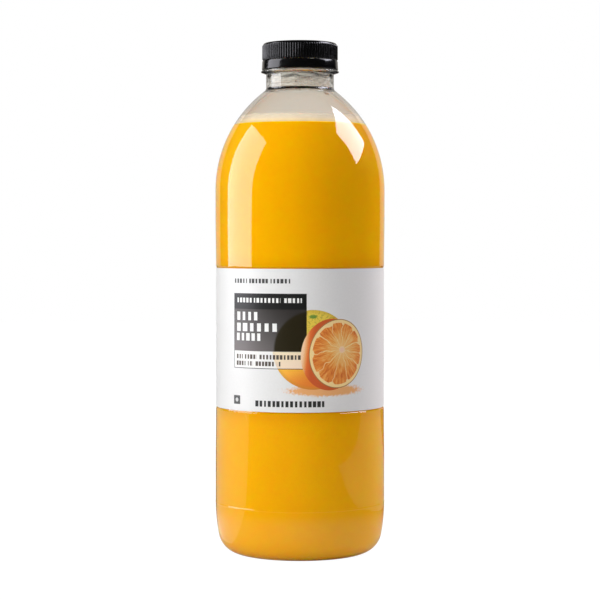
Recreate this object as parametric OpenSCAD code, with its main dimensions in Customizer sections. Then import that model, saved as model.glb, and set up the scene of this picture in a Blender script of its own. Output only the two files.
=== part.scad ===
// Clear plastic bottle of orange juice, closed with a ribbed screw cap and wrapped with a label.
// Millimetres. +Z is up, the origin is on the floor at the bottle's axis, and the label's front faces -Y.

/* [Overall] */
// Outside diameter of the bottle's body
body_d = 93.4; // [80:0.2:112]
// Height from the floor to the top of the closed cap
total_h = 281.2; // [234:0.2:338]
// Wall thickness of the blown body
wall_t = 0.5; // [0.4:0.05:0.8]
// Depth of the air space from the top of the cap down to the juice
air_h = 44.4; // [38:0.2:60]

/* [Heel and base] */
// Height at which the straight wall starts to curve in towards the base
heel_h = 28.2; // [24:0.2:34]
// Radius of the slack curve at the top of the heel
heel_slack_r = 98.5; // [80:0.5:118]
// Radius of the tight curve that meets the floor
heel_tight_r = 12.4; // [10:0.1:15]
// Width of the flat ring that the bottle stands on
foot_w = 3; // [2:0.1:4]
// Height of the pushed-up middle of the base
push_h = 7; // [5:0.1:9]
// Height of the raised line that the mould parts leave above the heel
seam_w = 0.5; // [0.3:0.1:0.8]
// How far that raised line stands out
seam_out = 0.12; // [0.1:0.02:0.2]

/* [Label panel] */
// Share of the straight wall below the label
label_start = 0.308; // [0.25:0.002:0.4]
// Share of the straight wall that the label covers
label_share = 0.444; // [0.35:0.002:0.5]
// Thickness of the label
label_t = 0.2; // [0.15:0.01:0.3]
// Play between the label and the panel it is wrapped on
label_play = 0.02; // [0.01:0.01:0.05]
// Width of the glued overlap at the back of the label
lap_w = 12; // [8:0.5:16]
// How far the panel is set in from the body
panel_in = 0.55; // [0.4:0.05:0.8]
// Part of that depth taken by the small step at each edge of the panel
panel_step = 0.3; // [0.2:0.05:0.35]
// Height of that step, and of the bare margin above and below the label
panel_edge_h = 1.1; // [0.8:0.1:2]
// Share of the wall beyond the panel over which it eases back to full size
panel_ease = 0.64; // [0.4:0.02:0.8]

/* [Shoulder and neck] */
// Radius of the shoulder's curve
shoulder_r = 68.5; // [62:0.5:82]
// Outside diameter of the neck below its ring
neck_d = 37.3; // [31:0.1:44.8]
// Wall thickness of the neck
neck_t = 1.95; // [1.6:0.05:2.3]
// Length of the straight neck below its ring
neck_len = 7.3; // [5:0.1:9]
// Radius of the hollow curve between the neck and the shoulder
neck_fillet_r = 2.5; // [1.5:0.1:4]
// How far the neck's ring stands out
ring_out = 2.85; // [2.4:0.05:3.2]
// Thickness of the ring at the neck
ring_t = 1.6; // [1.2:0.1:2]
// Thickness of the ring at its rim
ring_rim_t = 0.7; // [0.5:0.1:0.9]
// Play between the neck above the ring and the inside of the cap
thread_play = 0.7; // [0.5:0.05:1]

/* [Cap] */
// Height of the cap, with its tamper band
cap_h = 15; // [13:0.1:18]
// Wall thickness of the cap's skirt, without its ribs
skirt_t = 1.15; // [1:0.05:1.4]
// Thickness of the cap's top
cap_top_t = 1.6; // [1.4:0.1:2]
// Radius of the cap's top edge
cap_edge_r = 1.6; // [1:0.1:2]
// Number of grip ribs round the cap
rib_count = 90; // [60:2:120]
// How far the ribs stand out
rib_out = 0.35; // [0.25:0.05:0.45]
// Width of one rib
rib_w = 0.9; // [0.7:0.05:1]
// Height of the tamper band
band_h = 5; // [4:0.1:6]
// How far the band flares out at its foot
band_flare = 0.2; // [0.1:0.05:0.3]
// Bevel at the band's foot
band_bevel = 0.4; // [0.2:0.05:0.5]
// Height of the break line between the cap and its band
slit_h = 0.35; // [0.3:0.05:0.5]
// Number of small bridges across the break line
bridge_count = 18; // [12:1:24]
// Width of one bridge
bridge_w = 0.9; // [0.6:0.05:1.2]
// Space between the band's foot and the neck's ring
band_gap = 0.5; // [0.3:0.05:0.8]

/* [Juice] */
// Play between the juice and the wall that holds it
juice_play = 0.05; // [0.03:0.01:0.1]

/* [Hidden] */
$fn = 144;
bite = 0.1;
tuck = 0.5;
body_r = body_d / 2;
neck_r = neck_d / 2;
bore_r = neck_r - neck_t;
ring_r = neck_r + ring_out;

// heights, from the cap down to the shoulder
cap_z = total_h - cap_h;
mouth_z = total_h - cap_top_t;
ring_top_z = cap_z - band_gap;
ring_low_z = ring_top_z - ring_t;
neck_z = ring_low_z - neck_len;
fill_z = total_h - air_h;

// the shoulder is one arc, tangent to the wall and to the hollow curve under the neck
shoulder_cx = body_r - shoulder_r;
fillet_cx = neck_r + neck_fillet_r;
fillet_reach = shoulder_r + neck_fillet_r;
shoulder_z = neck_z - sqrt(pow(fillet_reach, 2) - pow(fillet_cx - shoulder_cx, 2));
fillet_x = shoulder_cx + (fillet_cx - shoulder_cx) * shoulder_r / fillet_reach;
fillet_z = shoulder_z + (neck_z - shoulder_z) * shoulder_r / fillet_reach;

// the heel is two arcs that meet where their radii line up
heel_a = asin((heel_h - heel_tight_r) / (heel_slack_r - heel_tight_r));
heel_cx = body_r - heel_slack_r;
foot_cx = heel_cx + (heel_slack_r - heel_tight_r) * cos(heel_a);
foot_in_r = foot_cx - foot_w;
push_r = (pow(foot_in_r, 2) + pow(push_h, 2)) / (2 * push_h);

// the label panel, placed by shares of the straight wall
wall_h = shoulder_z - heel_h;
label_z = heel_h + label_start * wall_h;
label_h = label_share * wall_h;
label_top_z = label_z + label_h;
panel_r = body_r - panel_in;
edge_r = panel_r + panel_step;
panel_low_z = label_z - panel_edge_h;
panel_top_z = label_top_z + panel_edge_h;
ease_low_z = panel_low_z - panel_ease * (panel_low_z - heel_h);
ease_top_z = panel_top_z + panel_ease * (shoulder_z - panel_top_z);
lap_a = lap_w / panel_r * 180 / PI;

// the cap
core_r = neck_r + thread_play + skirt_t;
cap_in_r = core_r - skirt_t;
cap_r = core_r + rib_out;
band_top_z = cap_z + band_h;
skirt_z = band_top_z + slit_h;

// bite is how far a cutter or a bridge runs into its neighbour, and tuck how far two outlines overlap
// where they join, each inside the other

// a rectangle from the axis out to x, between two heights
module slab(x, z0, z1) {
  translate([0, z0])
    square([x, z1 - z0]);
}

// half outline of the heel and base, set in by t from the outer face
module heel_outline(t) {
  meet_z = heel_h - (heel_slack_r - t) * sin(heel_a);
  intersection() {
    translate([heel_cx, heel_h])
      circle(r = heel_slack_r - t);
    slab(body_r, meet_z, heel_h + tuck);
  }
  difference() {
    union() {
      intersection() {
        translate([foot_cx, heel_tight_r])
          circle(r = heel_tight_r - t);
        slab(body_r, t, meet_z + tuck);
      }
      slab(foot_cx, t, meet_z + tuck);
    }
    translate([0, push_h - push_r])
      circle(r = push_r + t);
  }
}

// half outline of the straight wall with its label panel, set in by t
module wall_outline(t) {
  polygon([
    [0, heel_h],
    [body_r - t, heel_h],
    [body_r - t, ease_low_z],
    [edge_r - t, panel_low_z],
    [panel_r - t, label_z - panel_edge_h / 2],
    [panel_r - t, label_top_z + panel_edge_h / 2],
    [edge_r - t, panel_top_z],
    [body_r - t, ease_top_z],
    [body_r - t, shoulder_z],
    [0, shoulder_z]
  ]);
}

// half outline of the shoulder up to a height, set in by t
module shoulder_outline(t, top_z) {
  intersection() {
    translate([shoulder_cx, shoulder_z])
      circle(r = shoulder_r - t);
    slab(body_r, shoulder_z - tuck, top_z);
  }
}

// half outline of the whole body up to a height, set in by t
module body_outline(t, top_z) {
  heel_outline(t);
  wall_outline(t);
  shoulder_outline(t, top_z);
}

// half outline of the neck with its ring, down to where the shoulder's arc ends
module neck_outline() {
  difference() {
    slab(fillet_x, fillet_z - tuck, neck_z);
    translate([fillet_cx, neck_z])
      circle(r = neck_fillet_r);
  }
  slab(neck_r, fillet_z, mouth_z);
  polygon([
    [0, ring_low_z],
    [neck_r, ring_low_z],
    [ring_r, ring_top_z - ring_rim_t],
    [ring_r, ring_top_z],
    [0, ring_top_z]
  ]);
}

module bottle() {
  color([0.86, 0.85, 0.80, 0.4])
    rotate_extrude()
      difference() {
        union() {
          body_outline(0, fillet_z);
          neck_outline();
          slab(body_r + seam_out, heel_h - seam_w / 2, heel_h + seam_w / 2);
        }
        body_outline(wall_t, neck_z);
        slab(bore_r, shoulder_z, mouth_z + bite);
      }
}

module juice() {
  color([0.94, 0.67, 0.03])
    rotate_extrude()
      intersection() {
        body_outline(wall_t + juice_play, fill_z);
        slab(body_r, 0, fill_z);
      }
}

// half outline of the capped end, with its rounded top edge
module cap_outline() {
  slab(cap_r - cap_edge_r, total_h - cap_edge_r, total_h);
  slab(cap_r, skirt_z, total_h - cap_edge_r);
  translate([cap_r - cap_edge_r, total_h - cap_edge_r])
    intersection() {
      circle(r = cap_edge_r);
      square(cap_edge_r);
    }
}

// the skirt and top: a ribbed drum trimmed to the rounded outline
module cap_shell() {
  intersection() {
    translate([0, 0, skirt_z])
      linear_extrude(total_h - skirt_z)
        union() {
          circle(r = core_r);
          for (i = [0:rib_count - 1])
            rotate(i * 360 / rib_count)
              translate([core_r, 0])
                circle(d = rib_w, $fn = 24);
        }
    rotate_extrude()
      cap_outline();
  }
}

// the tamper band, flared and bevelled at its foot
module cap_band() {
  rotate_extrude()
    polygon([
      [cap_in_r, cap_z],
      [cap_r + band_flare - band_bevel, cap_z],
      [cap_r + band_flare, cap_z + band_bevel],
      [cap_r, band_top_z],
      [cap_in_r, band_top_z]
    ]);
}

// the small bridges that hold the band to the skirt
module cap_bridges() {
  for (i = [0:bridge_count - 1])
    rotate(i * 360 / bridge_count)
      translate([cap_in_r + skirt_t / 2, -bridge_w / 2, band_top_z - bite])
        cube([skirt_t / 2 - bite, bridge_w, slit_h + 2 * bite]);
}

module cap() {
  color([0.02, 0.02, 0.02]) {
    difference() {
      cap_shell();
      translate([0, 0, skirt_z - bite])
        cylinder(r = cap_in_r, h = mouth_z - skirt_z + bite);
    }
    cap_band();
    cap_bridges();
  }
}

module label() {
  color([0.93, 0.92, 0.93]) {
    rotate_extrude()
      translate([panel_r + label_play, label_z])
        square([label_t, label_h]);
    rotate([0, 0, 90 - lap_a / 2])
      rotate_extrude(angle = lap_a)
        translate([panel_r + label_play + label_t / 2, label_z])
          square([label_t, label_h]);
  }
}

bottle();
juice();
cap();
label();
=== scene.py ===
import math
import random

import bmesh
import bpy
from mathutils import Matrix, Vector


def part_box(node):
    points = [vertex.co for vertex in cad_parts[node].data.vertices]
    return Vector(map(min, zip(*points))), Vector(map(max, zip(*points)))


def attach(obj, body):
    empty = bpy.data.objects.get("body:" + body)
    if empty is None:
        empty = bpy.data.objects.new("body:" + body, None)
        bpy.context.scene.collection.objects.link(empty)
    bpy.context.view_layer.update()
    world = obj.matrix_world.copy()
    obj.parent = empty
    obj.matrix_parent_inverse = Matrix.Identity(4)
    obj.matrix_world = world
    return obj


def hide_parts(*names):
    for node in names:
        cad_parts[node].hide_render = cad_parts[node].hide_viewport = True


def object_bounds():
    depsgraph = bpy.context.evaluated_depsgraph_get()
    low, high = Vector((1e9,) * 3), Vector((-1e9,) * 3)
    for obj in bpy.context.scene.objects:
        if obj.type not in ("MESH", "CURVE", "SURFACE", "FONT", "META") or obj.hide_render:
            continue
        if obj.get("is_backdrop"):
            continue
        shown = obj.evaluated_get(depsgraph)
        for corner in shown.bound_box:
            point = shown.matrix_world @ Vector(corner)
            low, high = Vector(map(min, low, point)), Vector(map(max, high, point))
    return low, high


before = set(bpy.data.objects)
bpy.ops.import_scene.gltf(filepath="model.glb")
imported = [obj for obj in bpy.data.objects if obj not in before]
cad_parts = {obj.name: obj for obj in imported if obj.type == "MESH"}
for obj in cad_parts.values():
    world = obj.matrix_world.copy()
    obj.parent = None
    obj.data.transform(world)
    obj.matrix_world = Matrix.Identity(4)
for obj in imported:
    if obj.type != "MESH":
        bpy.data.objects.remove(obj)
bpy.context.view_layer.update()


# BOTTLE
# A clear PET shell, stretch-blown from a moulded preform: a thick neck with its ring, a long round
# shoulder, a straight wall with a shallow panel for the label, and a pushed-up base. The mould
# leaves a fine raised line above the heel, where its base meets its halves.
mm = 0.001
merge_gap = 0.004 * mm
label_z, label_top_z = (corner.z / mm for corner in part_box("label"))
mouth_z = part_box("bottle")[1].z / mm

body_r = 46.7
wall_t = 0.5
heel_z = 28.2
slack_r, tight_r, heel_turn = 98.5, 12.4, 10.574
foot_x = 32.838
push_h, push_r = 7.0, 67.09
panel_r, panel_edge_r, panel_edge_h = 46.15, 46.45, 1.1
ease_low_z, ease_top_z = 46.883, 185.298
shoulder_z, shoulder_r = 200.264, 68.5
shoulder_x = body_r - shoulder_r
neck_r, bore_r = 18.65, 16.7
neck_z, fillet_r, fillet_turn = 256.8, 2.5, 52.77
neck_foot_z = 256.1
ring_low_z, ring_top_z, ring_r = 264.1, 265.7, 21.5
lip_r, bore_fillet = 0.5, 0.6
line_half_h, line_out = 0.3, 0.1


def arc(x, z, radius, start, end, steps):
    """Points of a section along an arc, with its angles in degrees from the +X side."""
    turns = (math.radians(start + (end - start) * i / steps) for i in range(steps + 1))
    return [(x + radius * math.cos(a), z + radius * math.sin(a)) for a in turns]


def ease(x0, z0, x1, z1, steps):
    """Points of a section that leaves one upright line and joins another without a corner."""
    shares = [i / steps for i in range(steps + 1)]
    return [(x0 + (x1 - x0) * (3 * s * s - 2 * s**3), z0 + (z1 - z0) * s) for s in shares]


def body_section(inset, end_turn, line=False):
    """Half section of the body, set in from its outer face: from the base's middle to the shoulder."""
    dome_r = push_r + inset
    dome_z = push_h - push_r
    dome_x = math.sqrt(dome_r**2 - (inset - dome_z) ** 2)
    dome_end = math.degrees(math.acos(dome_x / dome_r))
    x = body_r - inset
    points = arc(0, dome_z, dome_r, 90, dome_end, 10)
    points += arc(foot_x, tight_r, tight_r - inset, -90, -heel_turn, 12)
    points += arc(body_r - slack_r, heel_z, slack_r - inset, -heel_turn, -0.8, 9)[1:]
    if line:
        points += [(x, heel_z - 0.7), (x, heel_z - line_half_h)]
        points += [(x + line_out, heel_z - line_half_h / 2), (x + line_out, heel_z + line_half_h / 2)]
        points += [(x, heel_z + line_half_h), (x, heel_z + 0.7), (x, heel_z + 2)]
    else:
        points += [(x, heel_z)]
    edge_x, panel_x = panel_edge_r - inset, panel_r - inset
    points += ease(x, ease_low_z, edge_x, label_z - panel_edge_h, 8)
    points += ease(edge_x, label_z - panel_edge_h + 0.05, panel_x, label_z - panel_edge_h / 2, 5)
    points += [(panel_x, label_z + 20), (panel_x, label_top_z - 20)]
    edge_top_z = label_top_z + panel_edge_h
    points += ease(panel_x, label_top_z + panel_edge_h / 2, edge_x, edge_top_z - 0.05, 5)
    points += ease(edge_x, edge_top_z, x, ease_top_z, 8)
    points += arc(shoulder_x, shoulder_z, shoulder_r - inset, 0, end_turn, 34)
    return points


def trace(name, points, side=0.0):
    """Starts a piece in edit mode as a single point and extrudes it point by point along a section."""
    bpy.ops.object.select_all(action="DESELECT")
    bpy.ops.mesh.primitive_plane_add(size=2 * mm)
    piece = bpy.context.object
    piece.name = piece.data.name = name
    bpy.ops.object.mode_set(mode="EDIT")
    bpy.ops.mesh.select_mode(type="VERT")
    bpy.ops.mesh.select_all(action="SELECT")
    bpy.ops.mesh.merge(type="CENTER")
    out = Vector((math.cos(side), math.sin(side), 0))
    places = [(out * x + Vector((0, 0, z))) * mm for x, z in points]
    bpy.ops.transform.translate(value=places[0])
    for here, there in zip(places, places[1:]):
        bpy.ops.mesh.extrude_region_move(TRANSFORM_OT_translate={"value": there - here})
    return piece


def spin_shell(name, points, steps):
    """Spins a section round the bottle's axis, closes its seam and poles, and faces it outwards."""
    piece = trace(name, points)
    bpy.ops.mesh.select_all(action="SELECT")
    bpy.ops.mesh.spin(steps=steps, angle=math.tau, center=(0, 0, 0), axis=(0, 0, 1))
    bpy.ops.mesh.select_all(action="SELECT")
    bpy.ops.mesh.remove_doubles(threshold=merge_gap)
    bpy.ops.mesh.normals_make_consistent(inside=False)
    bpy.ops.object.mode_set(mode="OBJECT")
    return piece


def smooth(piece, sharp_from):
    """Shades a piece smooth, with its edges sharper than an angle left crisp."""
    bpy.ops.object.select_all(action="DESELECT")
    piece.select_set(True)
    bpy.context.view_layer.objects.active = piece
    bpy.ops.object.shade_smooth_by_angle(angle=math.radians(sharp_from))


outside = body_section(0, fillet_turn, line=True)
outside += arc(neck_r + fillet_r, neck_z, fillet_r, 180 + fillet_turn, 180, 7)[1:]
outside += [(neck_r, ring_low_z - 0.35), (neck_r + 0.12, ring_low_z - 0.1)]
outside += [(neck_r + 0.4, ring_low_z + 0.1), (ring_r - 0.25, ring_low_z + 0.82)]
outside += [(ring_r - 0.05, ring_low_z + 0.96), (ring_r, ring_low_z + 1.1)]
outside += [(ring_r, ring_top_z - 0.2), (ring_r - 0.06, ring_top_z - 0.06), (ring_r - 0.2, ring_top_z)]
outside += [(neck_r, ring_top_z), (neck_r, mouth_z - lip_r)]
lip = arc(neck_r - lip_r, mouth_z - lip_r, lip_r, 0, 90, 4)[1:]
lip += arc(bore_r + lip_r, mouth_z - lip_r, lip_r, 90, 180, 4)
bore_reach = shoulder_r - wall_t + bore_fillet
bore_turn = math.degrees(math.acos((bore_r + bore_fillet - shoulder_x) / bore_reach))
bore_z = shoulder_z + bore_reach * math.sin(math.radians(bore_turn))
inside = body_section(wall_t, bore_turn)
inside += arc(bore_r + bore_fillet, bore_z, bore_fillet, 180 + bore_turn, 180, 3)[1:]
inside += [(bore_r, bore_z + 2)]
bottle = spin_shell("bottle_shell", outside + lip + inside[::-1], steps=192)
smooth(bottle, sharp_from=40)


class Wire:
    """A socket in a material's nodes. Arithmetic on it adds Math nodes."""

    def __init__(self, tree, socket=None):
        self.tree = tree
        self.socket = socket

    def node(self, kind, settings=None, inputs=None, out=0):
        """Adds a node of any type: its settings first, then the values or links of its sockets."""
        made = self.tree.nodes.new("ShaderNode" + kind)
        for name, value in (settings or {}).items():
            if name == "stops":
                ramp = made.color_ramp
                while len(ramp.elements) > 1:
                    ramp.elements.remove(ramp.elements[-1])
                for i, (place, colour) in enumerate(value):
                    stop = ramp.elements[0] if i == 0 else ramp.elements.new(place)
                    stop.position = place
                    stop.color = (*colour, 1)
            else:
                setattr(made, name, value)
        for name, value in (inputs or {}).items():
            if isinstance(value, Wire):
                self.tree.links.new(value.socket, made.inputs[name])
            elif isinstance(value, tuple) and len(value) == 3 and made.inputs[name].type == "RGBA":
                made.inputs[name].default_value = (*value, 1)
            else:
                made.inputs[name].default_value = value
        return Wire(self.tree, made.outputs[out])

    def math(self, operation, *values):
        """A Math node on this value and any others."""
        return self.node("Math", {"operation": operation}, dict(enumerate((self, *values))))

    def __add__(self, other):
        return self.math("ADD", other)

    __radd__ = __add__

    def __sub__(self, other):
        return self.math("SUBTRACT", other)

    def __rsub__(self, other):
        return self * -1 + other

    def __mul__(self, other):
        return self.math("MULTIPLY", other)

    __rmul__ = __mul__

    def __truediv__(self, other):
        return self.math("DIVIDE", other)

    def __pow__(self, other):
        return self.math("POWER", other)

    def __lt__(self, other):
        return self.math("LESS_THAN", other)

    def __gt__(self, other):
        return self.math("GREATER_THAN", other)

    def __abs__(self):
        return self.math("ABSOLUTE")

    def near(self, middle, reach):
        """1 where this value is within reach of middle."""
        return self.math("COMPARE", middle, reach)

    def rise(self, low, high, to_low=0.0, to_high=1.0):
        """A soft step of this value from one level to another."""
        inputs = {"Value": self, "From Min": low, "From Max": high, "To Min": to_low, "To Max": to_high}
        return self.node("MapRange", {"interpolation_type": "SMOOTHSTEP"}, inputs)

    def over(self, mask, colour):
        """This colour with another laid over it where the mask is 1."""
        return self.node("Mix", {"data_type": "RGBA"}, {0: mask, 6: self, 7: colour}, out=2)

    def ramp(self, *stops):
        """The colour for this value, from stops that each hold a place and a colour."""
        return self.node("ValToRGB", {"stops": stops}, {"Fac": self})

    def ray(self, kind):
        """1 for a ray of one kind."""
        return self.node("LightPath", out=f"Is {kind} Ray")

    def surface(self, shader, kind="Material"):
        """Makes a shader the one that the material or the world shows."""
        output = self.tree.nodes.new(f"ShaderNodeOutput{kind}")
        self.tree.links.new(shader.socket, output.inputs["Surface"])


def new_material(name):
    """An empty material, as a Wire on its nodes."""
    material = bpy.data.materials.new(name)
    material.use_nodes = True
    material.node_tree.nodes.clear()
    return material, Wire(material.node_tree)


def distance(wire, place, axis):
    """How far a place is along one axis, in millimetres."""
    return wire.node("SeparateXYZ", {}, {"Vector": place}, out=axis) / mm


def stretch(wire, place, scale):
    """A place scaled along each axis, to stretch the pattern that reads it."""
    return wire.node("Mapping", {}, {"Vector": place, "Scale": scale})


def noise(wire, vector, scale, detail=2.0, roughness=0.5):
    """A soft random pattern, with its scale in cells per unit of the vector."""
    inputs = {"Vector": vector, "Scale": scale, "Detail": detail, "Roughness": roughness}
    return wire.node("TexNoise", {}, inputs)


clear_pet, w = new_material("clear_pet")
place = w.node("TexCoord", out="Object")
height = distance(w, place, "Z")
flow = noise(w, stretch(w, place, (1.0, 1.0, 0.35)), 26.0)
ripples = noise(w, stretch(w, place, (0.5, 0.5, 2.2)), 230.0, 3.0)
in_neck = height.rise(neck_foot_z - 1.6, neck_foot_z + 1.4)
foot_haze = abs(height - neck_foot_z).rise(0.5, 1.1, 0.14, 0.0)
scuffs = noise(w, stretch(w, place, (3.0, 3.0, 0.5)), 400.0, 4.0, 0.7)
waves = flow * 0.25 + in_neck * ripples
relief = w.node("Bump", {}, {"Height": waves, "Strength": 0.22, "Distance": 0.6 * mm})
glass = w.node(
    "BsdfPrincipled",
    {},
    {
        "Base Color": (0.972, 0.968, 0.948),
        "Roughness": scuffs.rise(0.45, 0.8, 0.012, 0.05) + foot_haze,
        "IOR": 1.57,
        "Transmission Weight": 1.0,
        "Normal": relief,
    },
)
to_lamps = w.node("BsdfTransparent", {}, {"Color": (1.0, 1.0, 0.99)})
through = w.ray("Shadow").math("MAXIMUM", w.ray("Diffuse"))
w.surface(w.node("MixShader", {}, {0: through, 1: glass, 2: to_lamps}))
bottle.data.materials.append(clear_pet)
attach(bottle, "root")
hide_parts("bottle")


# JUICE
# Cloudy orange juice with fine pulp, filled to a level in the shoulder. It wets the wall, so it is
# modelled just into the wall's thickness, and it climbs the wall a little in a meniscus. Beside the
# label its colour is painted deeper: painted shade for the light that the label keeps from it.
fill_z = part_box("juice")[1].z / mm
juice_in, meniscus_h = 0.25, 0.7
rim_z = fill_z - 0.5
level_z = rim_z - meniscus_h
label_shade_h = 9
fill_turn = math.degrees(math.asin((rim_z - shoulder_z) / (shoulder_r - juice_in)))
juice_points = body_section(juice_in, fill_turn)
rim_x = juice_points[-1][0]
juice_points += [(rim_x - 0.5, level_z + 0.32), (rim_x - 1.2, level_z + 0.1), (rim_x - 2.4, level_z)]
juice_points += [(rim_x - 8, level_z), (rim_x - 20, level_z), (0, level_z)]
juice = spin_shell("juice_fill", juice_points, steps=160)
smooth(juice, sharp_from=50)

juice_look, w = new_material("cloudy_juice")
place = w.node("TexCoord", out="Object")
pulp = noise(w, place, 620.0, 3.0, 0.6)
clouds = noise(w, stretch(w, place, (1.0, 1.0, 0.6)), 22.0, 2.0)
blend = clouds.rise(0.3, 0.7) * 0.6 + pulp.rise(0.35, 0.65) * 0.4
colour = blend.ramp((0.0, (0.98, 0.44, 0.0)), (1.0, (1.0, 0.49, 0.0)))
label_middle_z, label_half_h = (label_z + label_top_z) / 2, (label_top_z - label_z) / 2
from_middle = abs(distance(w, place, "Z") - label_middle_z)
# painted shade: the juice colour is made deeper near the label's top and bottom edges, in place of the
# light the label keeps out
painted_label_shade = from_middle.rise(label_half_h, label_half_h + label_shade_h, 0.7, 0.0)
colour = colour.over(painted_label_shade, (0.93, 0.37, 0.0))
drink = w.node(
    "BsdfPrincipled",
    {},
    {
        "Base Color": colour,
        "Roughness": pulp.rise(0.3, 0.7, 0.3, 0.42),
        "IOR": 1.34,
        "Specular IOR Level": 0.06,
        "Subsurface Weight": 1.0,
        "Subsurface Radius": (1.0, 0.45, 0.1),
        "Subsurface Scale": 9 * mm,
        "Normal": w.node("Bump", {}, {"Height": pulp, "Strength": 0.15, "Distance": 0.1 * mm}),
    },
)
w.surface(drink)
juice.data.materials.append(juice_look)
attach(juice, "root")
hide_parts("juice")


# JUICE FILM
# A thin wash of juice left on the inside of the shoulder just above the level, where the bottle was
# moved. It ends in a soft edge and lets the back wall show through.
film_low_z, film_top_z = rim_z - 0.6, fill_z + 4.3
film_out, film_in = wall_t + 0.06, wall_t + 0.16


def wall_x(z, inset):
    """Radius of the shoulder at a height, set in from its outer face."""
    return shoulder_x + math.sqrt((shoulder_r - inset) ** 2 - (z - shoulder_z) ** 2)


film_heights = [film_low_z + (film_top_z - film_low_z) * i / 8 for i in range(9)]
film_points = [(wall_x(z, film_out), z) for z in film_heights]
film_points += [(wall_x(z, film_in), z) for z in film_heights[::-1]]
film = spin_shell("juice_film", film_points + film_points[:1], steps=160)
smooth(film, sharp_from=50)

film_look, w = new_material("juice_wash")
place = w.node("TexCoord", out="Object")
height = distance(w, place, "Z")
streaks = noise(w, stretch(w, place, (1.0, 1.0, 0.25)), 160.0, 2.0)
cover = height.rise(fill_z, film_top_z + 0.5, 0.55, 0.22) + (streaks - 0.5) * 0.2
wash = height.rise(fill_z - 0.5, fill_z + 2.5)
film_shader = w.node(
    "BsdfPrincipled",
    {},
    {
        "Base Color": wash.ramp((0.0, (1.0, 0.80, 0.42)), (1.0, (1.0, 0.87, 0.66))),
        "Roughness": 0.3,
        "IOR": 1.34,
        # painted glow: a faint peach emission brightens the wash, though it gives no light of its own
        "Emission Color": (1.0, 0.86, 0.62),
        "Emission Strength": 0.05,
        "Alpha": cover,
    },
)
w.surface(film_shader)
film.data.materials.append(film_look)
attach(film, "root")


# NECK MIST
# A thin veil of condensed water on the inside of the neck, too fine to see as drops. It is thicker in
# some places than in others, so the neck reads as a rippled grey band under its ring.
mist_low_z, mist_middle_z, mist_top_z = 256.6, 261.5, 267
mist_out, mist_in = bore_r - 0.05, bore_r - 0.12
mist_heights = [mist_low_z, mist_middle_z, mist_top_z]
mist_points = [(mist_out, z) for z in mist_heights] + [(mist_in, z) for z in mist_heights[::-1]]
mist = spin_shell("neck_mist", mist_points + mist_points[:1], steps=120)
smooth(mist, sharp_from=50)

mist_look, w = new_material("mist")
place = w.node("TexCoord", out="Object")
height = distance(w, place, "Z")
bands = noise(w, stretch(w, place, (0.5, 0.5, 2.4)), 260.0, 3.0, 0.6)
ends = height.rise(mist_low_z, mist_low_z + 0.6) * height.rise(mist_top_z, mist_top_z - 1.5)
mist_shader = w.node(
    "BsdfPrincipled",
    {},
    {
        "Base Color": bands.ramp((0.3, (0.62, 0.61, 0.56)), (0.7, (0.86, 0.85, 0.80))),
        "Roughness": bands.rise(0.3, 0.7, 0.35, 0.6),
        "IOR": 1.33,
        "Alpha": ends * bands.rise(0.32, 0.68, 0.12, 0.62),
    },
)
w.surface(mist_shader)
mist.data.materials.append(mist_look)
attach(mist, "root")


# DROPLETS
# Condensed water above the juice: small flattened beads that cling to the inside of the neck, run
# down the shoulder in a short column at the front right, and lie scattered on the rest of it.
neck_beads, column_beads, shoulder_beads = 95, 30, 25
neck_span, column_span, shoulder_span = (257.2, 263.8), (251.5, neck_z), (245, 255.5)
column_x, column_spread = 14.6, 0.7
bpy.ops.object.select_all(action="DESELECT")
bpy.ops.mesh.primitive_ico_sphere_add(subdivisions=2, radius=1 * mm)
bead = bpy.context.object
bead.name = bead.data.name = "droplets"
bpy.ops.object.mode_set(mode="EDIT")
bpy.ops.mesh.select_all(action="SELECT")
bpy.ops.transform.resize(value=(0.4, 1, 1), center_override=(0, 0, 0))
bpy.ops.object.mode_set(mode="OBJECT")

draw = random.Random(7)
beads = []
for n in range(neck_beads + column_beads + shoulder_beads):
    if n < neck_beads:
        side, z = draw.uniform(0, math.tau), draw.uniform(*neck_span)
        x, size, lean = bore_r, draw.uniform(0.16, 0.5), 0.0
    elif n < neck_beads + column_beads:
        z, across = draw.uniform(*column_span), draw.gauss(column_x, column_spread)
        x, size = max(wall_x(z, wall_t), bore_r), draw.uniform(0.22, 0.48)
        side = -math.acos(min(across / x, 0.99))
        lean = math.asin((min(z, shoulder_span[1]) - shoulder_z) / (shoulder_r - wall_t))
    else:
        side, z = draw.uniform(0, math.tau), draw.uniform(*shoulder_span)
        x, size = wall_x(z, wall_t), draw.uniform(0.1, 0.28)
        lean = math.asin((z - shoulder_z) / (shoulder_r - wall_t))
    copy = bead.copy()
    copy.data = bead.data.copy()
    bpy.context.collection.objects.link(copy)
    copy.matrix_world = (
        Matrix.Rotation(side, 4, "Z")
        @ Matrix.Translation(Vector(((x - 0.05 * size) * mm, 0, z * mm)))
        @ Matrix.Rotation(-lean, 4, "Y")
        @ Matrix.Scale(size, 4)
        @ Matrix.Scale(draw.uniform(0.9, 1.5), 4, (0, 0, 1))
    )
    beads.append(copy)
bpy.data.objects.remove(bead)
bpy.ops.object.select_all(action="DESELECT")
for copy in beads:
    copy.select_set(True)
bpy.context.view_layer.objects.active = beads[0]
bpy.ops.object.join()
droplets = bpy.context.object
droplets.name = droplets.data.name = "droplets"
bpy.ops.object.transform_apply(location=True, rotation=True, scale=True)
smooth(droplets, sharp_from=180)

water, w = new_material("condensed_water")
water_shader = w.node(
    "BsdfPrincipled",
    {},
    {"Base Color": (0.97, 0.97, 0.95), "Roughness": 0.02, "IOR": 1.33, "Transmission Weight": 1.0},
)
w.surface(water_shader)
droplets.data.materials.append(water)
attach(droplets, "root")


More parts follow.
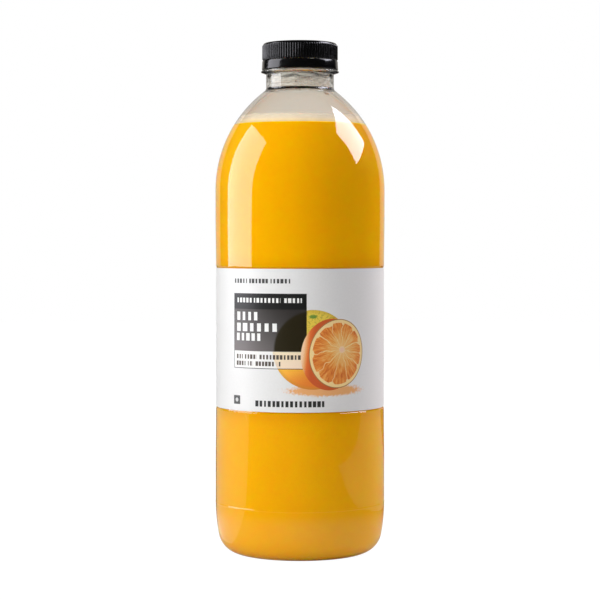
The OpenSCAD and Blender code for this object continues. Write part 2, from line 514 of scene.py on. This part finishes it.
# SCREW CAP
# A black injection-moulded cap: a finely ribbed skirt, duller between its ribs, under a rounded top
# edge, and below the break line a smooth glossy tamper band, held to the skirt by small bridges.
cap_z, cap_top_z = (corner.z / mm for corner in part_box("cap"))
skirt_r, cap_in_r, edge_r = 20.5, 19.35, 1.6
rib_out, rib_count, rib_steps = 0.35, 90, 8
band_r, band_h, break_h = 21.05, 5, 0.35
bridge_r, bridge_count, bridge_size = 20.15, 18, (0.62, 0.9, 0.6)
band_top_z = cap_z + band_h
skirt_z = band_top_z + break_h
edge_z = cap_top_z - edge_r

dish_r, dish_h = 16.4, 0.12
skirt_points = [(0, cap_top_z - dish_h), (dish_r, cap_top_z - dish_h)]
skirt_points += [(dish_r + 0.5, cap_top_z - 0.02), (dish_r + 1, cap_top_z)]
skirt_points += arc(skirt_r - edge_r, edge_z, edge_r, 90, 0, 8)
skirt_points += [(skirt_r, edge_z - 0.5), (skirt_r, edge_z - 1.2)]
skirt_points += [(skirt_r, skirt_z + 0.7), (skirt_r, skirt_z + 0.25)]
skirt_points += [(skirt_r - 0.15, skirt_z), (cap_in_r + 0.2, skirt_z), (cap_in_r, skirt_z + 0.2)]
skirt_points += [(cap_in_r, mouth_z - 0.4), (cap_in_r - 0.4, mouth_z), (0, mouth_z)]
cap = spin_shell("screw_cap", skirt_points, steps=rib_count * rib_steps)
bpy.ops.object.mode_set(mode="EDIT")
for share, steps in ((1.0, (0,)), (0.82, (1, 7)), (0.3, (2, 6))):
    shape = bmesh.from_edit_mesh(cap.data)
    for vert in shape.verts:
        step = round(math.atan2(vert.co.y, vert.co.x) / math.tau * rib_count * rib_steps) % rib_steps
        on_wall = math.hypot(vert.co.x, vert.co.y) > (skirt_r - 0.03) * mm
        in_reach = skirt_z + 0.6 < vert.co.z / mm < edge_z + 0.2
        vert.select = step in steps and on_wall and in_reach
    shape.select_flush_mode()
    bmesh.update_edit_mesh(cap.data)
    grow = (skirt_r + rib_out * share) / skirt_r
    bpy.ops.transform.resize(value=(grow, grow, 1), center_override=(0, 0, 0))
bpy.ops.object.mode_set(mode="OBJECT")

band_points = [(cap_in_r, cap_z + 0.2), (cap_in_r + 0.2, cap_z), (band_r - 0.45, cap_z)]
band_points += [(band_r - 0.23, cap_z + 0.1), (band_r - 0.05, cap_z + 0.32), (band_r, cap_z + 0.6)]
band_points += [(band_r - 0.07, cap_z + 1.6), (band_r - 0.17, cap_z + 3.4)]
band_points += [(band_r - 0.2, band_top_z - 0.3), (band_r - 0.33, band_top_z)]
band_points += [(cap_in_r + 0.2, band_top_z), (cap_in_r, band_top_z - 0.2), (cap_in_r, cap_z + 0.2)]
band = spin_shell("tamper_band", band_points, steps=240)

bpy.ops.object.select_all(action="DESELECT")
bpy.ops.mesh.primitive_cube_add(size=1 * mm, location=(0, 0, 0))
bridges = bpy.context.object
bpy.ops.object.mode_set(mode="EDIT")
bpy.ops.mesh.select_all(action="SELECT")
bpy.ops.transform.resize(value=bridge_size, center_override=(0, 0, 0))
bpy.ops.transform.translate(value=(bridge_r * mm, 0, (band_top_z + 0.17) * mm))
bpy.ops.mesh.bevel(offset=0.08 * mm, segments=1)
bpy.ops.mesh.select_all(action="SELECT")
bpy.ops.mesh.spin(steps=bridge_count, dupli=True, angle=math.tau, center=(0, 0, 0), axis=(0, 0, 1))
bpy.ops.mesh.select_all(action="SELECT")
bpy.ops.mesh.remove_doubles(threshold=merge_gap)
bpy.ops.object.mode_set(mode="OBJECT")
bpy.ops.object.select_all(action="DESELECT")
for piece in (band, bridges, cap):
    piece.select_set(True)
bpy.context.view_layer.objects.active = cap
bpy.ops.object.join()
smooth(cap, sharp_from=48)

cap_look, w = new_material("black_cap_plastic")
place = w.node("TexCoord", out="Object")
height = distance(w, place, "Z")
grain = noise(w, place, 1400.0, 3.0, 0.6)
wear = noise(w, stretch(w, place, (1.0, 1.0, 3.0)), 90.0, 4.0, 0.65)
on_skirt = height.rise(band_top_z - 0.1, band_top_z + 0.3)
shade = wear.ramp((0.0, (0.0015, 0.0015, 0.0016)), (1.0, (0.004, 0.004, 0.0042)))
across, along = (distance(w, place, axis) for axis in "XY")
from_axis = (across * across + along * along) ** 0.5
beside_ribs = on_skirt * height.rise(edge_z + 0.3, edge_z - 0.3)
in_groove = from_axis.rise(skirt_r + 0.04, skirt_r + 0.26, 1.0, 0.0) * beside_ribs
cap_shader = w.node(
    "BsdfPrincipled",
    {},
    {
        "Base Color": shade,
        "Roughness": wear.rise(0.4, 0.75, 0.12, 0.22) - on_skirt * 0.02 + in_groove * 0.26,
        "IOR": 1.5,
        "Normal": w.node("Bump", {}, {"Height": grain, "Strength": 0.25, "Distance": 0.03 * mm}),
    },
)
w.surface(cap_shader)
cap.data.materials.append(cap_look)
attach(cap, "root")
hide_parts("cap")


# LABEL
# A white plastic film printed on its outside and wrapped once round the panel, with a glued overlap
# down the back. The print is a dark box with rows of plain bars beside a whole and a cut orange.
sleeve_in, sleeve_out = 46.17, 46.37
lap_in, lap_out, lap_w = 46.27, 46.47, 12
low, high = label_z, label_top_z
sleeve_points = [(sleeve_in, low), (sleeve_out - 0.05, low), (sleeve_out, low + 0.05)]
sleeve_points += [(sleeve_out, low + 0.4), (sleeve_out, high - 0.4), (sleeve_out, high - 0.05)]
sleeve_points += [(sleeve_out - 0.05, high), (sleeve_in, high), (sleeve_in, low)]
label = spin_shell("wrap_label", sleeve_points, steps=240)

lap_turn = lap_w / panel_r
lap_section = [(lap_in, low), (lap_out, low), (lap_out, high), (lap_in, high)]
lap = trace("lap", lap_section, math.pi / 2 + lap_turn / 2)
bpy.ops.mesh.select_all(action="SELECT")
bpy.ops.mesh.edge_face_add()
bpy.ops.mesh.spin(steps=12, angle=lap_turn, center=(0, 0, 0), axis=(0, 0, 1))
bpy.ops.mesh.select_all(action="SELECT")
bpy.ops.mesh.remove_doubles(threshold=merge_gap)
bpy.ops.mesh.normals_make_consistent(inside=False)
bpy.ops.object.mode_set(mode="OBJECT")
bpy.ops.object.select_all(action="DESELECT")
lap.select_set(True)
label.select_set(True)
bpy.context.view_layer.objects.active = label
bpy.ops.object.join()
smooth(label, sharp_from=40)

print_look, w = new_material("printed_film")
place = w.node("TexCoord", out="Object")
# u runs round the sleeve from the middle of the front, and z up it, both in millimetres
x, y, z = (distance(w, place, axis) for axis in "XYZ")
u = x.math("ARCTAN2", 0 - y) * sleeve_out
sheet = w.node("CombineXYZ", {}, {"X": u, "Y": z, "Z": 0.0})


def oval(middle_u, middle_z, half_u, half_z, tilt=0.0):
    """Distance from an oval's middle, 1 on its outline."""
    c, s = math.cos(math.radians(tilt)), math.sin(math.radians(tilt))
    across, up = u - middle_u, z - middle_z
    p = (across * c + up * s) / half_u
    q = (up * c - across * s) / half_z
    return (p * p + q * q) ** 0.5


def dice(across, up):
    """A random number from 0 to 1 for each step across and up the label."""
    step = w.node("CombineXYZ", {}, {"X": across, "Y": up, "Z": 0.0})
    return w.node("TexWhiteNoise", {"noise_dimensions": "3D"}, {"Vector": step})


def row(middle_z, half_h, words, bar_pitch):
    """A row of plain bars of varying width in place of words, each given by its start and end."""
    mask = 0.0
    for start, end in words:
        mask = u.near((start + end) / 2, (end - start) / 2) + mask
    bar = (u - words[0][0]) / bar_pitch
    half_w = dice(bar.math("FLOOR"), middle_z) * 0.19 + 0.22
    return mask * (abs(bar.math("FRACT") - 0.45) < half_w) * z.near(middle_z, half_h)


paint = noise(w, sheet, 0.9, 3.0, 0.6)
fine_paint = noise(w, sheet, 3.2, 2.0, 0.6)
art = paint.ramp((0.3, (0.755, 0.75, 0.75)), (0.7, (0.78, 0.775, 0.775)))

# the shadow under the fruit, then the whole fruit with its stalk end
ground = oval(14.5, 92.8, 23.5, 3.3) + (paint - 0.5) * 0.9
art = art.over(ground.rise(1.05, 0.7) * 0.9, (0.85, 0.38, 0.09))
whole_u, whole_z = 7.0, 114.6
whole = oval(whole_u, whole_z, 21.8, 21.2)
warm = (z * -1 + u * 0.35).rise(-131, -92)
peel = (warm + (fine_paint - 0.5) * 0.35).ramp(
    (0.0, (0.80, 0.60, 0.07)),
    (0.4, (0.95, 0.58, 0.04)),
    (0.75, (0.96, 0.45, 0.04)),
    (1.0, (0.80, 0.20, 0.02)),
)
peel = peel.over(paint.rise(0.50, 0.60) * z.rise(116, 127) * 0.75, (0.45, 0.36, 0.04))
peel = peel.over(whole.rise(0.88, 1.0) * 0.4, (0.50, 0.28, 0.03))
on_whole = whole < 1
art = art.over(on_whole, peel)
stalk = oval(whole_u, whole_z + 17.6, 2.4, 1.1) + (fine_paint - 0.5) * 1.6
art = art.over(stalk < 0.9, (0.16, 0.30, 0.04))

# the box, with the fruit showing darkly through it
box_u, box_half_w, box_z, box_half_h, box_line = -18.3, 21.9, 124.3, 20.1, 0.35
in_box = u.near(box_u, box_half_w) * z.near(box_z, box_half_h)
inside_line = u.near(box_u, box_half_w - box_line) * z.near(box_z, box_half_h - box_line)
deep = (z + u * 0.55).rise(88, 134).ramp(
    (0.0, (0.17, 0.15, 0.15)),
    (0.5, (0.10, 0.09, 0.088)),
    (1.0, (0.035, 0.03, 0.028)),
)
deep = deep.over(whole.rise(1.0, 0.93), (0.022, 0.016, 0.003))
art = art.over(in_box * z.near(124.75, 11.25), deep)
art = art.over(in_box * z.near(140.2, 4.2), (0.012, 0.012, 0.012))
veil = in_box * z.near(108.95, 4.6)
art = art.over(veil * (0.85 - on_whole * 0.25), (0.86, 0.85, 0.84))
art = art.over(in_box * (1 - inside_line), (0.02, 0.02, 0.02))
white = (0.86, 0.86, 0.85)
art = art.over(row(140.75, 1.25, [(-38, -27.4), (-26, -10.5), (-9.1, 1.0)], 2.25), white)
art = art.over(row(132.25, 2.25, [(-38.3, -22.9)], 3.9), white)
art = art.over(row(126.3, 2.2, [(-38.5, -11.5)], 4.55), white)
art = art.over(row(121.1, 2.0, [(-38.5, -21.4)], 3.5), white)
small = row(110.55, 1.2, [(-38.3, -33.5), (-32, -24.4), (-22.8, 0.6)], 1.95)
low_words = [(-38.3, -31.6), (-30.0, -26.6), (-25.2, -13.9), (-12.4, -10.5)]
small = small + row(106.95, 1.2, low_words, 1.9)
art = art.over(small, (0.09, 0.07, 0.055))

# the cut half: its rind seen from the side, the pith, and the segments round their core
half_tilt = -10
rind = oval(16.9, 112.0, 16.4, 19.2, half_tilt)
rind_depth = (u - z * 0.12 + 13.4).rise(0.6, 7.5) + (fine_paint - 0.5) * 0.6
rind_colour = rind_depth.ramp(
    (0.0, (0.95, 0.66, 0.42)),
    (0.22, (0.88, 0.42, 0.14)),
    (0.5, (0.80, 0.17, 0.03)),
    (1.0, (0.62, 0.10, 0.02)),
)
art = art.over(rind < 1, rind_colour)
face = oval(21.1, 112.4, 16.3, 18.5, half_tilt)
core_u, core_z, segments = 23.4, 114.4, 11
wobble = noise(w, sheet, 0.16, 1.0)
off_u, off_z = u - core_u, z - core_z
core_r = (off_u * off_u + off_z * off_z) ** 0.5
turn = off_z.math("ARCTAN2", off_u) / math.tau
segment = (turn * segments + 0.3 + (wobble - 0.5) * 0.9).math("FRACT")
from_wall = (0.5 - abs(segment - 0.5)) * core_r * (math.tau / segments)
rays = w.node("CombineXYZ", {}, {"X": turn * 85, "Y": core_r * 0.2, "Z": 0.0})
streaks = noise(w, rays, 1.0, 3.0, 0.6)
flesh = (streaks * 1.3 + core_r.rise(2, 15, 0.06, -0.32)).ramp(
    (0.15, (0.68, 0.14, 0.02)),
    (0.4, (0.84, 0.28, 0.04)),
    (0.6, (0.88, 0.44, 0.11)),
    (0.85, (0.93, 0.62, 0.26)),
)
pith = fine_paint.ramp((0.3, (0.88, 0.60, 0.22)), (0.7, (0.95, 0.76, 0.40)))
art = art.over(face < 1, (0.42, 0.20, 0.06))
art = art.over(face < 0.975, pith)
in_flesh = (face < 0.89) * (from_wall > 0.16 + (fine_paint - 0.5) * 0.35) * (core_r > 1.3 + paint)
rounded = face + from_wall.rise(0.2, 1.6, 0.06, 0.0)
art = art.over(in_flesh * (rounded < 0.895), flesh)
art = art.over((core_r + (fine_paint - 0.5) * 2.4).rise(2.3, 0.8) * 0.85, (0.90, 0.56, 0.42))

# the name row, the small square and the lower row, all left as plain bars
name_row = row(151.05, 1.2, [(-40.0, -30.5), (-29.0, -17.5), (-16.0, -5.2)], 2.1)
art = art.over(name_row, (0.05, 0.05, 0.05))
square_u, square_z, dot_r = -38.05, 87.05, 1.1
art = art.over(u.near(square_u, 2.5) * z.near(square_z, 2.35), (0.06, 0.06, 0.06))
art = art.over(oval(square_u, square_z, dot_r, dot_r) < 1, (0.6, 0.6, 0.6))
art = art.over(row(85.65, 1.6, [(-25.2, -15.9), (-14.9, 13.1)], 2.45), (0.025, 0.025, 0.025))

# the sides and the back: a narrow upright column, and blocks of small bars in thin frames
column_u, column_z, column_half_h, dash_pitch = 67.4, 125, 30, 1.7
column = u.near(column_u, 0.8) * z.near(column_z, column_half_h)
column = column * (z / dash_pitch).math("FRACT").near(0.35, 0.35)
art = art.over(column * 0.7, (0.25, 0.25, 0.26))
block_u, block_half_w, block_z, block_half_h = 107, 20, 121, 27
block_gap, block_line, bar_pitch, line_pitch = 2.5, 0.3, 1.25, 3.4
bar, line = u / bar_pitch, z / line_pitch
bars = (dice(bar.math("FLOOR"), line.math("FLOOR")) > 0.17) * bar.math("FRACT").near(0.4, 0.36)
bars = bars * line.math("FRACT").near(0.5, 0.24)


def in_block(margin):
    """1 inside the block of small bars on either side, with a margin round it."""
    return abs(u).near(block_u, block_half_w + margin) * z.near(block_z, block_half_h + margin)


art = art.over(in_block(0) * bars, (0.12, 0.12, 0.125))
block_edge = in_block(block_gap) * (1 - in_block(block_gap - block_line))
art = art.over(block_edge, (0.10, 0.10, 0.105))

crease = noise(w, stretch(w, place, (1.0, 1.0, 0.3)), 60.0, 2.0)
film_grain = noise(w, place, 1800.0, 2.0)
unevenness = crease * 0.6 + film_grain * 0.05
label_shader = w.node(
    "BsdfPrincipled",
    {},
    {
        "Base Color": art,
        "Roughness": paint.rise(0.3, 0.7, 0.36, 0.46),
        "IOR": 1.48,
        "Normal": w.node("Bump", {}, {"Height": unevenness, "Strength": 0.2, "Distance": 0.3 * mm}),
    },
)
w.surface(label_shader)
label.data.materials.append(print_look)
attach(label, "root")
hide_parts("label")


# STUDIO
# A pale floor and backdrop. A softbox and a low card on each side show in the gloss, and three
# broad softboxes only light the bottle. The camera stands a little below the shoulder, almost level.
camera_place, camera_tilt, camera_lens = (0, -1.0793, 0.17395), 88.179, 117
floor_r, floor_z = 3, -0.0005
floor_glow, glow_share = 1.09, 0.92
scene = bpy.context.scene
scene.view_settings.view_transform = "Standard"
bpy.ops.object.camera_add(location=camera_place, rotation=(math.radians(camera_tilt), 0, 0))
camera = bpy.context.object
camera.data.lens = camera_lens
camera.data.sensor_width = 36
camera.data.clip_start = 0.05
scene.camera = camera

bpy.ops.object.select_all(action="DESELECT")
bpy.ops.mesh.primitive_circle_add(
    vertices=96, radius=floor_r, fill_type="NGON", location=(0, 0, floor_z)
)
floor = bpy.context.object
floor.name = floor.data.name = "floor"
bpy.ops.object.transform_apply(location=True, rotation=True, scale=True)
floor_look, w = new_material("pale_floor")
place = w.node("TexCoord", out="Object")
shade = noise(w, place, 9.0).ramp((0.0, (0.66, 0.66, 0.66)), (1.0, (0.70, 0.70, 0.70)))
lit = w.node("BsdfDiffuse", {}, {"Color": shade})
dark = w.node("BsdfDiffuse", {}, {"Color": (0.0, 0.0, 0.0)})
across, along = (distance(w, place, axis) for axis in "XY")
from_bottle = (across * across + along * along) ** 0.5
far = from_bottle.rise(80, 200, 0.30, 0.92)
reflected = w.node("MixShader", {}, {0: w.ray("Glossy") * far, 1: lit, 2: dark})
glow = w.node("Emission", {}, {"Color": (1.0, 1.0, 1.0), "Strength": floor_glow})
w.surface(w.node("MixShader", {}, {0: w.ray("Camera") * glow_share, 1: reflected, 2: glow}))
floor.data.materials.append(floor_look)
floor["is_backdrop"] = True

world = bpy.data.worlds.new("studio")
world.use_nodes = True
world.node_tree.nodes.clear()
scene.world = world
w = Wire(world.node_tree)
look = w.node("TexCoord", out="Generated")
away = w.node("SeparateXYZ", {}, {"Vector": look}, out="Y")
backdrop = away.rise(0.74, 0.79)
through_glass = {0: w.ray("Transmission"), 6: (0.01, 0.01, 0.01), 7: (0.435, 0.44, 0.432)}
room = w.node("Mix", {"data_type": "RGBA"}, through_glass, out=2)
room = room.over(w.ray("Diffuse"), (0.245, 0.24, 0.245))
sky = room.over(backdrop * (1 - w.ray("Glossy") * 0.35), (0.835, 0.79, 0.725))
sky = sky.over(w.ray("Camera"), (1.0, 1.0, 1.0))
sky_shader = w.node("Background", {}, {"Color": sky, "Strength": 1.0})
w.surface(sky_shader, "World")


def softbox(name, middle, across, behind, width, tall, radiance, in_gloss, in_diffuse, tint=(1, 1, 1)):
    """A rectangular softbox: its middle, the direction of its width, and the way its back faces."""
    back = Vector(behind).normalized()
    right = (Vector(across) - back * Vector(across).dot(back)).normalized()
    up = back.cross(right)
    turn = Matrix((right, up, back)).transposed().to_euler()
    bpy.ops.object.light_add(type="AREA", location=middle, rotation=turn)
    lamp = bpy.context.object
    lamp.name = lamp.data.name = name
    lamp.data.shape = "RECTANGLE"
    lamp.data.size, lamp.data.size_y = width, tall
    lamp.data.energy = radiance * math.pi * width * tall
    lamp.data.color = tint
    lamp.visible_camera = False
    lamp.visible_glossy = in_gloss
    lamp.visible_diffuse = in_diffuse
    lamp.visible_transmission = False


softbox(
    "strip", (-0.943, 0.01, 0.526), (0.241, -0.957, -0.164), (-0.96, -0.26, 0.108),
    0.874, 1.0, 4.2, in_gloss=True, in_diffuse=False, tint=(1, 0.99, 1.07),
)
softbox(
    "square", (0.778, 0.102, 0.82), (0.38, 0.31, -0.871), (0.835, 0.29, 0.468),
    0.574, 0.58, 9.5, in_gloss=True, in_diffuse=False, tint=(0.92, 0.91, 1.03),
)
softbox(
    "key", (-0.94, -0.74, 0.62), (0.62, -0.79, 0), (-0.94, -0.74, 0.45),
    1.3, 1.1, 3.35, in_gloss=False, in_diffuse=True, tint=(1.0, 1.02, 1.01),
)
softbox(
    "side_fill", (0.88, 0.72, 0.6), (-0.63, 0.77, 0), (0.88, 0.72, 0.45),
    1.1, 1.1, 4.6, in_gloss=False, in_diffuse=True, tint=(1.0, 0.95, 0.97),
)
softbox(
    "top_fill", (-0.1, 0.0, 1.5), (1, 0, 0), (0, 0, 1),
    0.9, 0.9, 2.2, in_gloss=False, in_diffuse=True,
)
softbox(
    "low_card_left", (-0.725, 0.289, 0.001), (0.951, 0.309, 0), (0, 0, -1),
    1.1, 1.0, 0.42, in_gloss=True, in_diffuse=False,
)
softbox(
    "low_card_right", (0.62, 0.27, 0.001), (0.849, 0.529, 0), (0, 0, -1),
    1.0, 0.8, 0.27, in_gloss=True, in_diffuse=False,
)

low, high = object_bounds()
